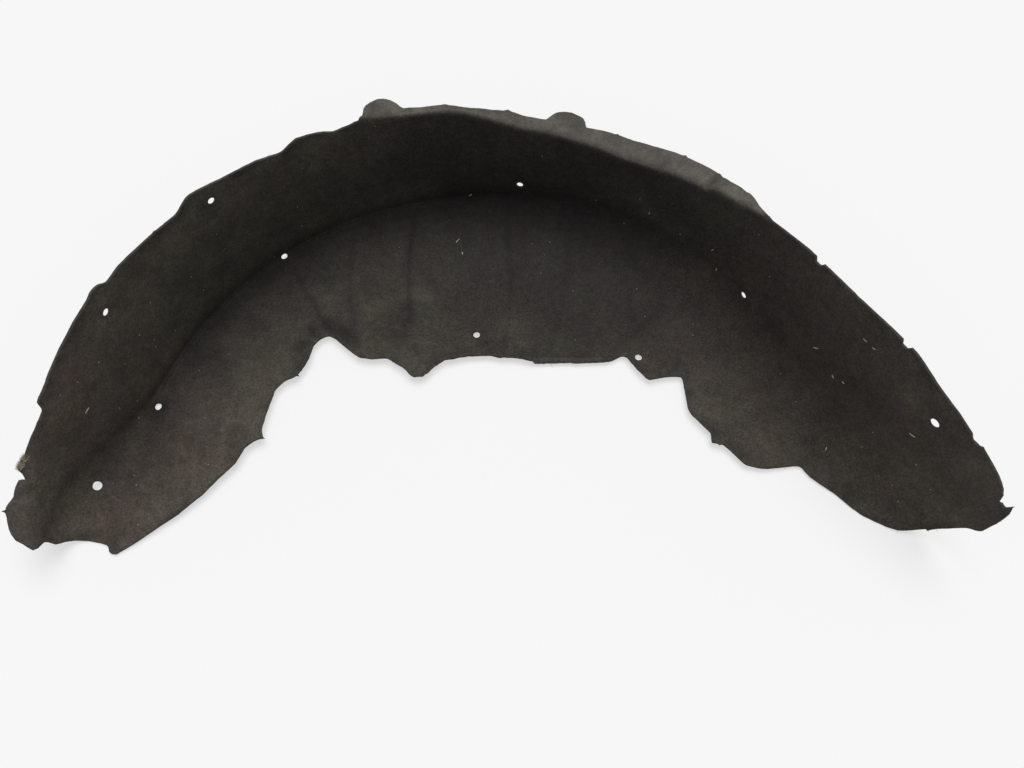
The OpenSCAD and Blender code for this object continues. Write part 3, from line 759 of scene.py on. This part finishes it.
def moulded_felt():
    """Thick needled felt of dark recycled fibre: matt, mottled, dusty and smoother on the lip, with
    painted shade in the corner and a painted sheen on the lip.
    """
    material, tree = new_material("moulded_felt")
    spot = add_node(tree, "ShaderNodeTexCoord").outputs["Object"]

    def ranged(value, low=0, high=1, to_low=0, to_high=1):
        return add_node(tree, "ShaderNodeMapRange", {
            "Value": value, "From Min": low, "From Max": high,
            "To Min": to_low, "To Max": to_high}).outputs["Result"]

    def cloud(size, detail=3, roughness=0.55, distortion=0, low=0.35, high=0.65):
        """Noise over lumps of a given size in millimetres, stretched to run from 0 to 1."""
        grain = add_node(tree, "ShaderNodeTexNoise", {
            "Vector": spot, "Scale": per_mm(size), "Detail": detail,
            "Roughness": roughness, "Distortion": distortion}).outputs["Fac"]
        return ranged(grain, low, high)

    def wear_and_light(name, *ranges):
        """Value that the mesh carries for its wear and painted light, mapped from one range to
        another.
        """
        value = add_node(tree, "ShaderNodeAttribute", attribute_name=name).outputs["Fac"]
        return ranged(value, *ranges)

    def times(a, b):
        return add_node(tree, "ShaderNodeMath", {0: a, 1: b}, operation="MULTIPLY").outputs[0]

    def over(under, code, amount):
        """Lays a colour over the colour under it, by an amount from 0 to 1."""
        return mixed(tree, amount, under, linear(code))

    def shade(under, amount):
        """Makes the colour under it lighter or darker by a value round 1."""
        return mixed(tree, 1.0, under, amount, blend_type="MULTIPLY")

    def swing(value, low, high):
        return ranged(value, 0, 1, low, high)

    # Dust lies unevenly over the dark fibre, in clouds 30 to 60 mm across; low on the barrel and
    # along its rim it carries painted light too
    base = mixed(tree, times(wear_and_light("dust_and_light"), swing(cloud(42, 4, 0.6), 0.55, 1.3)),
                 linear("#2c2928"), linear("#534f46"))
    # Recycled fibre dyed brown, violet and olive lies in clumps 20 to 60 mm across
    stained = wear_and_light("brown")
    for code, clumps, plain, on_stain in (
            ("#57422f", cloud(55, 3, low=0.5, high=0.75), 0.05, 0.35),
            ("#544749", cloud(38, 3, 0.6, 0.4, 0.48, 0.7), 0, 0.45),
            ("#373a31", cloud(47, 3, 0.6, 0.3, 0.48, 0.75), 0.65, 0.25)):
        base = over(base, code, times(clumps, swing(stained, plain, on_stain)))
    base = over(base, "#4c3f3d", times(stained, 0.25))
    # Damp and oil have darkened patches along the edges
    base = over(base, "#292a27", times(wear_and_light("edge_mm", 16, 3), times(
        cloud(33, 3, 0.5, 0.2, 0.48, 0.62), 0.6)))
    # The cut edge is compressed and shows a little darker and greyer
    base = over(base, "#3a3b38", times(wear_and_light("edge_mm", 5, 1.5), 0.4))
    # Pressed lip: matted fibre under a painted sheen, pale and mottled in patches 20 to 40 mm
    # across
    lip = mixed(tree, cloud(34, 4, 0.6, 0.8), linear("#55524d"), linear("#716b62"))
    base = mixed(tree, wear_and_light("press_and_sheen"), base, lip)
    # Fibre tufts 1 to 3 mm across: the real fibres are far finer, so they are drawn coarser
    rough_side = wear_and_light("press_and_sheen", 0, 1, 1, 0.4)
    base = shade(base, swing(times(cloud(2.2, 4, 0.75, low=0.3, high=0.7), rough_side), 0.48, 1.58))
    base = shade(base, swing(cloud(9, 3, 0.6, low=0.3, high=0.7), 0.84, 1.16))
    # Torn fibre shows a little paler along the trimmed edges
    base = over(base, "#5a554e", times(wear_and_light("edge_mm", 1.5, 0.2), times(cloud(2.4, 2), 0.3)))
    # Painted shade in the corner, along its crease and in the folds, faintly violet
    base = over(base, "#38333a", times(wear_and_light("painted_shade"), 0.3))
    base = shade(base, wear_and_light("painted_shade", 0, 1, 1, 0.42))

    tufts = cloud(1.1, 3, 0.7, 0.6, 0.2, 0.8)
    lumps = cloud(5.5, 2, 0.5, 0, 0.2, 0.8)
    height = add_node(tree, "ShaderNodeMath", {0: tufts, 1: times(lumps, 2.0)},
                      operation="ADD").outputs[0]
    bump = add_node(tree, "ShaderNodeBump", {
        "Height": height, "Strength": 0.8, "Distance": 0.18 * MM}).outputs["Normal"]
    rough = wear_and_light("press_and_sheen", 0, 1, 0.92, 0.62)
    shader = add_node(tree, "ShaderNodeBsdfPrincipled", {
        "Base Color": base, "Roughness": rough, "Normal": bump, "IOR": 1.5,
        "Specular IOR Level": 0.22, "Sheen Weight": 0.05, "Sheen Roughness": 0.5,
        "Sheen Tint": linear("#8c877c")})
    add_node(tree, "ShaderNodeOutputMaterial", {"Surface": shader.outputs["BSDF"]})
    return material


def loose_fibre(name, code, pale_code):
    """Single synthetic fibres and lint: dull, and paler at random from fibre to fibre."""
    material, tree = new_material(name)
    spot = add_node(tree, "ShaderNodeTexCoord").outputs["Object"]
    mix = add_node(tree, "ShaderNodeTexNoise", {"Vector": spot, "Scale": per_mm(7), "Detail": 2})
    base = mixed(tree, mix.outputs["Fac"], linear(code), linear(pale_code))
    shader = add_node(tree, "ShaderNodeBsdfPrincipled", {
        "Base Color": base, "Roughness": 0.8, "Sheen Weight": 0.2})
    add_node(tree, "ShaderNodeOutputMaterial", {"Surface": shader.outputs["BSDF"]})
    return material


# ---- Loose fibres and lint ----

def strand(points, faces, path, thickness, sides):
    """Adds a closed thin strand that tapers to both ends along a path of points."""
    path = [Vector(p) for p in path]
    first = len(points)
    count = len(path)
    for k, here in enumerate(path):
        along = (path[min(k + 1, count - 1)] - path[max(k - 1, 0)]).normalized()
        side = along.cross(Vector((0.3, 0.2, 0.9))).normalized()
        up = along.cross(side)
        if k in (0, count - 1):
            points.append(here)
            continue
        r = thickness / 2 * math.sin(math.pi * (0.12 + 0.76 * k / (count - 1)))
        for s in range(sides):
            a = 2 * math.pi * s / sides
            points.append(here + side * (r * math.cos(a)) + up * (r * math.sin(a)))
    rings = [[first + 1 + k * sides + s for s in range(sides)] for k in range(count - 2)]
    last = len(points) - 1
    for s in range(sides):
        t = (s + 1) % sides
        faces.append((first, rings[0][t], rings[0][s]))
        faces.append((last, rings[-1][s], rings[-1][t]))
        for low, high in zip(rings, rings[1:]):
            faces.append((low[s], low[t], high[t], high[s]))


def curved(start, lean, bend, length):
    """Path of a short fibre that leaves one way and bends another."""
    return [start + lean * (length * t) + bend * (length * t * t) for t in (0, 0.35, 0.7, 1)]


def add_object(name, data):
    made = bpy.data.objects.new(name, data)
    bpy.context.scene.collection.objects.link(made)
    return made


def place_piece(name, mesh, material):
    mesh.materials.append(material)
    made = add_object(name, mesh)
    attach(made, "root")
    return made


def place_strands(name, strands, material):
    """Makes one piece of strands, each given by its path, its thickness and its sides."""
    points, faces = [], []
    for given in strands:
        strand(points, faces, *given)
    mesh = bpy.data.meshes.new(name)
    mesh.from_pydata([tuple(c * MM for c in p) for p in points], [], faces)
    mesh.shade_smooth()
    place_piece(name, mesh, material)


def face_spot(station, run):
    """Point on the wheel side of the sheet, in the part's frame, and the way out of it."""
    section = Section(station)
    point, way = sheet_place(station, np.array([float(run)]), section)
    point, way = Vector(point[0]), Vector(way[0])
    lift = sheet_lift(point, station, run)
    return point + way * (lift + SHEET_T - SEAT_DEPTH * seat_share(station, run)) - REST_V, way


# How many fibres stand on a millimetre of edge, lie on the felt and stick out of the nub, and
# how far in millimetres those on the felt keep from the middle of a hole
FRINGE_PER_MM, STRAY_COUNT, NUB_COUNT, CLEAR_OF_HOLE = 0.16, 260, 420, 12


def fringe(sheet, dice):
    """Short torn fibres that stand out of the trimmed edges."""
    for loop in sheet.loops:
        count = len(loop)
        for k in range(count):
            mark, inside = loop[k]
            after = loop[(k + 1) % count][0]
            a, b = Vector(sheet.outer[mark]), Vector(sheet.outer[after])
            out = (a - Vector(sheet.outer[inside])).normalized()
            way = Vector(sheet.way[mark])
            chances = (b - a).length * FRINGE_PER_MM
            for _ in range(int(chances + dice.random())):
                root = a.lerp(b, dice.random()) + way * dice.uniform(0.4, 2.6) - REST_V
                root -= out * 0.6
                length = dice.uniform(1.0, 2.6) * (2.2 if dice.random() < 0.08 else 1)
                along = (b - a).normalized() * dice.uniform(-0.9, 0.9)
                lean = (out + along + way * dice.uniform(-0.5, 0.5)).normalized()
                bend = Vector([dice.uniform(-1, 1) for _ in range(3)])
                path = curved(root, lean, bend * 0.35, length)
                for p in path:
                    p.z = max(p.z, 0.15)
                yield path, dice.uniform(0.16, 0.3), 3


def lying_path(station, run, length, heading, turn, steps, back, lifts):
    """Path of a fibre on the felt, a little lower at its ends, that turns at every step."""
    scale = mm_per_station(station, run)
    x, y = -math.cos(heading) * back, -math.sin(heading) * back
    path = []
    for k in range(steps + 1):
        spot, way = face_spot(station + x / scale, run + y)
        path.append(spot + way * lifts[0 < k < steps])
        x += math.cos(heading) * length / steps
        y += math.sin(heading) * length / steps
        heading += turn
    return path


def stray_fibres(dice):
    """Curled single fibres that lie on the felt."""
    count = STRAY_COUNT
    while count:
        station = dice.uniform(RIGHT_END + 1, LEFT_END - 1)
        section = Section(station)
        run = dice.uniform(section.start + 3, section.edge - 3)
        if min(math.hypot((station - at) * LEG_STATION_MM, run - middle)
               for at, middle, _, _ in HOLES) < CLEAR_OF_HOLE:
            continue
        count -= 1
        heading, length = dice.uniform(0, 2 * math.pi), dice.uniform(2.5, 8)
        turn = dice.uniform(-1.2, 1.2) / 5
        path = lying_path(station, run, length, heading, turn, 5, 0, (0.02, 0.12))
        yield path, dice.uniform(0.14, 0.24), 3


# Frayed nub on the outer edge: station, half width in stations and length in mm
NUB = (181.9, 0.9, 3.4)


def nub_fibres(dice):
    """Cream fibre pulled out of the felt at the frayed nub."""
    middle, half, length = NUB
    for _ in range(NUB_COUNT):
        station = middle + half * dice.uniform(-1, 1)
        run = Section(station).edge - dice.uniform(-0.3, 4.5)
        spot, way = face_spot(station, run)
        beyond, _ = face_spot(station, run + 1)
        out = (beyond - spot).normalized()
        side = out.cross(way)
        spot -= way * dice.uniform(0, SHEET_T)
        lean = (out * dice.uniform(0.2, 1) + side * dice.uniform(-1, 1)
                + way * dice.uniform(-0.2, 0.9)).normalized()
        reach = length * dice.uniform(0.5, 1.2)
        bend = side * dice.uniform(-1, 1) + way * dice.uniform(-0.6, 0.6)
        yield curved(spot, lean, bend * 0.5, reach), dice.uniform(0.35, 0.6), 3


# Pale lint caught in the felt: station, run, length and heading in the sheet
LINT = (
    (171.8, 100, 8, 2.9), (94.5, -54, 9, 1.9), (93.3, -73, 5, 1.9), (43.9, 84, 5, 1.6),
    (41.6, 61, 6, 1.4), (19.2, 100, 8, 2.6), (14.1, 89, 5, -2.6), (14.5, 166, 6, 3),
    (12.7, 167, 5, 3), (12.3, 96, 4, 2.8), (0.1, 123, 7, 3.1), (57, 76, 5, 1.7),
    (91.4, 19, 6, 2.1), (5.8, 15, 6, 1.1))
# Pale specks: station and run
SPECKS = (
    (172, 143), (169.3, 131), (169, 58), (166.5, 39), (168.6, 21), (180.3, 12), (187.4, -40),
    (180.8, -17), (178.8, -6), (171.9, -72), (175.8, -82), (165.8, -56), (137.5, 104), (123.8, 39),
    (123.1, 70), (130.9, 17), (144.8, 51), (153, 102), (145.1, 81), (153.2, 44), (156.9, 64),
    (157.6, 56), (158, 88), (165.3, 121), (163, 85), (156.9, -25), (119.8, 122), (107.6, -54),
    (77.5, -39), (73.7, -27), (78.1, 103), (106.3, 146), (67.3, 58), (59.4, 90), (61, 40),
    (50.4, 72), (64, -79), (55.9, -135), (45.5, -54), (51.4, -31), (35.2, -25), (37.3, -15),
    (73.4, -75), (32.7, 122), (38, 155), (20.5, 31), (15.1, 24), (2.7, 50), (-3, 97),
    (3.5, 79), (-2.1, 42), (-4.2, 47), (-6.7, 39), (-6.7, 88))


def lint(dice):
    """Flecks and short twisted ends of pale lint, each lying on the felt."""
    small = [(station, run, dice.uniform(1.1, 2.2), dice.uniform(0, 3)) for station, run in SPECKS]
    for station, run, length, heading in list(LINT) + small:
        steps, thickness = (4, 0.9) if length < 3 else (7, 1.4)
        turn = dice.uniform(-1, 1) / steps
        path = lying_path(station, run, length, heading, turn, steps, length / 2, (0.05, 0.3))
        yield path, thickness, 5


# ---- The scene ----

# Half the floor's side in metres, its drop in millimetres and its share of plain white
FLOOR_HALF, FLOOR_DROP, FLOOR_GLOW = 6.0, 0.2, 0.6
AMBIENT = 0.3
LAMP, LAMP_SPREAD, LAMP_RISE, LAMP_TURN = 2.15, 45, 72, 82
CAMERA_AT, CAMERA_AIM = Vector((21.8, -406.86, 856.1)), Vector((21.8, -43.47, 0))
CAMERA_LENS, CAMERA_SENSOR = 28.125, 36
DICE_SEED = 11


def for_camera(tree, plain, seen, share=1.0):
    """Shows the camera a share of one shader, while light meets only the plain one."""
    path = add_node(tree, "ShaderNodeLightPath").outputs["Is Camera Ray"]
    part = add_node(tree, "ShaderNodeMath", {0: path, 1: share}, operation="MULTIPLY").outputs[0]
    return add_node(tree, "ShaderNodeMixShader", {
        0: part, 1: plain.outputs[0], 2: seen.outputs[0]}).outputs[0]


def studio():
    """Plain pale floor, white behind it, and one broad soft lamp high behind the liner."""
    scene = bpy.context.scene
    scene.view_settings.view_transform = "Standard"
    world = bpy.data.worlds.new("studio")
    scene.world = world
    world.use_nodes = True
    tree = world.node_tree
    tree.nodes.clear()
    soft = add_node(tree, "ShaderNodeBackground", {"Color": linear("#ffffff"), "Strength": AMBIENT})
    white = add_node(tree, "ShaderNodeBackground", {"Color": linear("#f6f6f6"), "Strength": 1.0})
    add_node(tree, "ShaderNodeOutputWorld", {"Surface": for_camera(tree, soft, white)})

    lamp = bpy.data.lights.new("soft_lamp", "SUN")
    lamp.energy = LAMP
    lamp.angle = math.radians(LAMP_SPREAD)
    held = add_object("soft_lamp", lamp)
    rise, turn = math.radians(LAMP_RISE), math.radians(LAMP_TURN)
    towards = Vector((math.cos(turn) * math.cos(rise), math.sin(turn) * math.cos(rise),
                      math.sin(rise)))
    held.rotation_euler = towards.to_track_quat("Z", "Y").to_euler()

    material, tree = new_material("floor_paper")
    paper = add_node(tree, "ShaderNodeBsdfPrincipled", {
        "Base Color": linear("#f2f2f2"), "Roughness": 0.9, "Specular IOR Level": 0.1})
    glow = add_node(tree, "ShaderNodeEmission", {"Color": linear("#fefefe"), "Strength": 1})
    add_node(tree, "ShaderNodeOutputMaterial", {
        "Surface": for_camera(tree, paper, glow, FLOOR_GLOW)})
    mesh = bpy.data.meshes.new("floor")
    half = FLOOR_HALF
    mesh.from_pydata([(-half, -half, 0), (half, -half, 0), (half, half, 0), (-half, half, 0)],
                     [], [(0, 1, 2, 3)])
    mesh.materials.append(material)
    floor = add_object("floor", mesh)
    floor.location.z = -FLOOR_DROP * MM
    floor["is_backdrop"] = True


def camera():
    """Looks down on the liner from its open side, as the photographer stood."""
    lens = bpy.data.cameras.new("camera")
    lens.sensor_width = CAMERA_SENSOR
    lens.lens = CAMERA_LENS
    held = add_object("camera", lens)
    held.location = CAMERA_AT * MM
    held.rotation_euler = (CAMERA_AT - CAMERA_AIM).to_track_quat("Z", "Y").to_euler()
    bpy.context.scene.camera = held


camera()
studio()

dice = random.Random(DICE_SEED)
sheet = SheetMesh()
shell = place_piece("felt_shell", sheet.build("felt_shell"), moulded_felt())
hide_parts("wheel_arch_liner")
place_strands("edge_fringe", fringe(sheet, dice), loose_fibre("torn_fibre", "#4c473e", "#8b8474"))
place_strands("stray_fibres", stray_fibres(dice), loose_fibre("stray_fibre", "#45413a", "#9a917f"))
place_strands("nub_fibres", nub_fibres(dice), loose_fibre("cream_fibre", "#8f8069", "#cdbfa4"))
place_strands("pale_lint", lint(dice), loose_fibre("pale_lint", "#938c7e", "#bdb5a6"))

[[[float(v) for v in corner] for corner in box] for box in (cad_box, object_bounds())]
